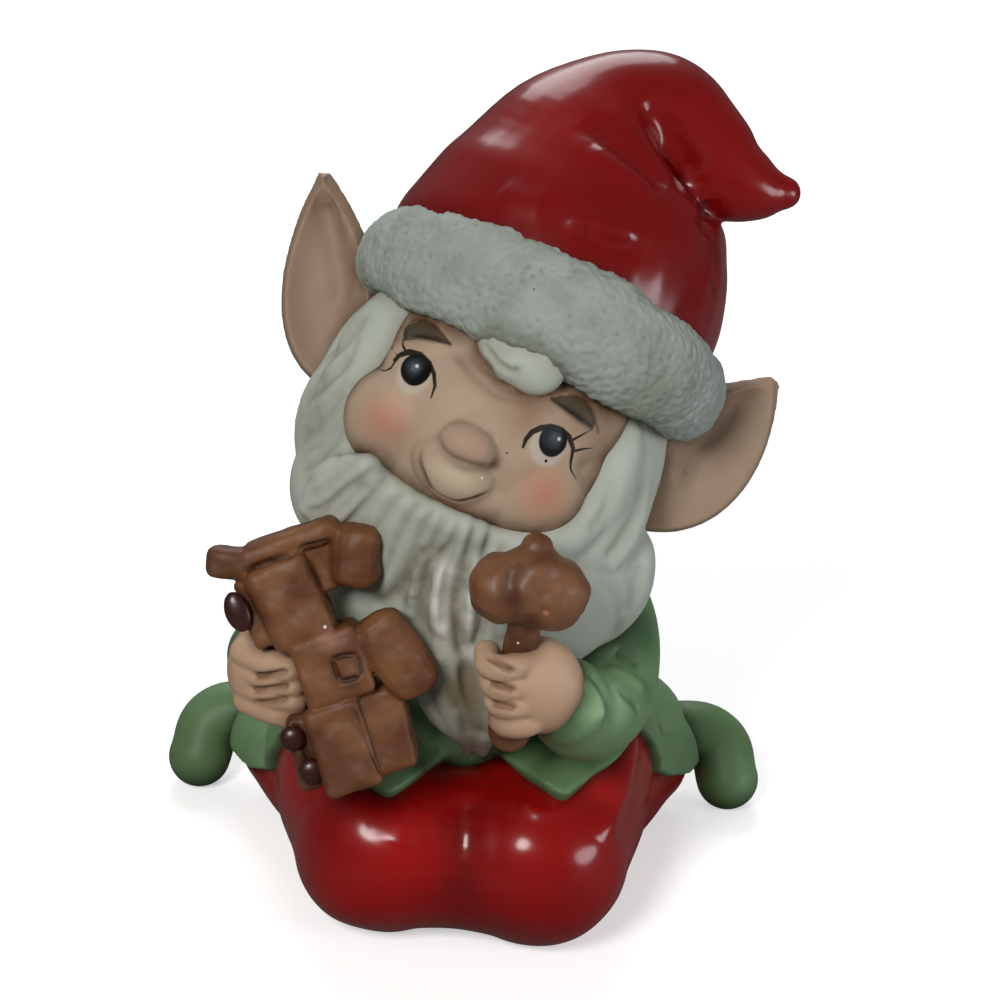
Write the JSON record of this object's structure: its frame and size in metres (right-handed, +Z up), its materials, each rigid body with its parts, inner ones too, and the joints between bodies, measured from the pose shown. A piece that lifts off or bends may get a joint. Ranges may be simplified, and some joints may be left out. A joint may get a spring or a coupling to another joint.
{
  "type": "porcelain elf figurine",
  "caption": "Kneeling porcelain elf with a flopped stocking hat, fur trim, pointed ears and a long beard, holding a carved toy and a mallet.",
  "frame": {"origin": "on the flat base, under the middle of the body", "axes": "+Z up, the elf faces -Y, and its left side is towards +X"},
  "size_m": [0.0859, 0.0656, 0.1127],
  "materials": {
    "porcelain": "painted bisque with a gloss glaze on the hat and trousers"
  },
  "bodies": {
    "root": {"elf_figurine": "porcelain"}
  },
  "joints": []
}
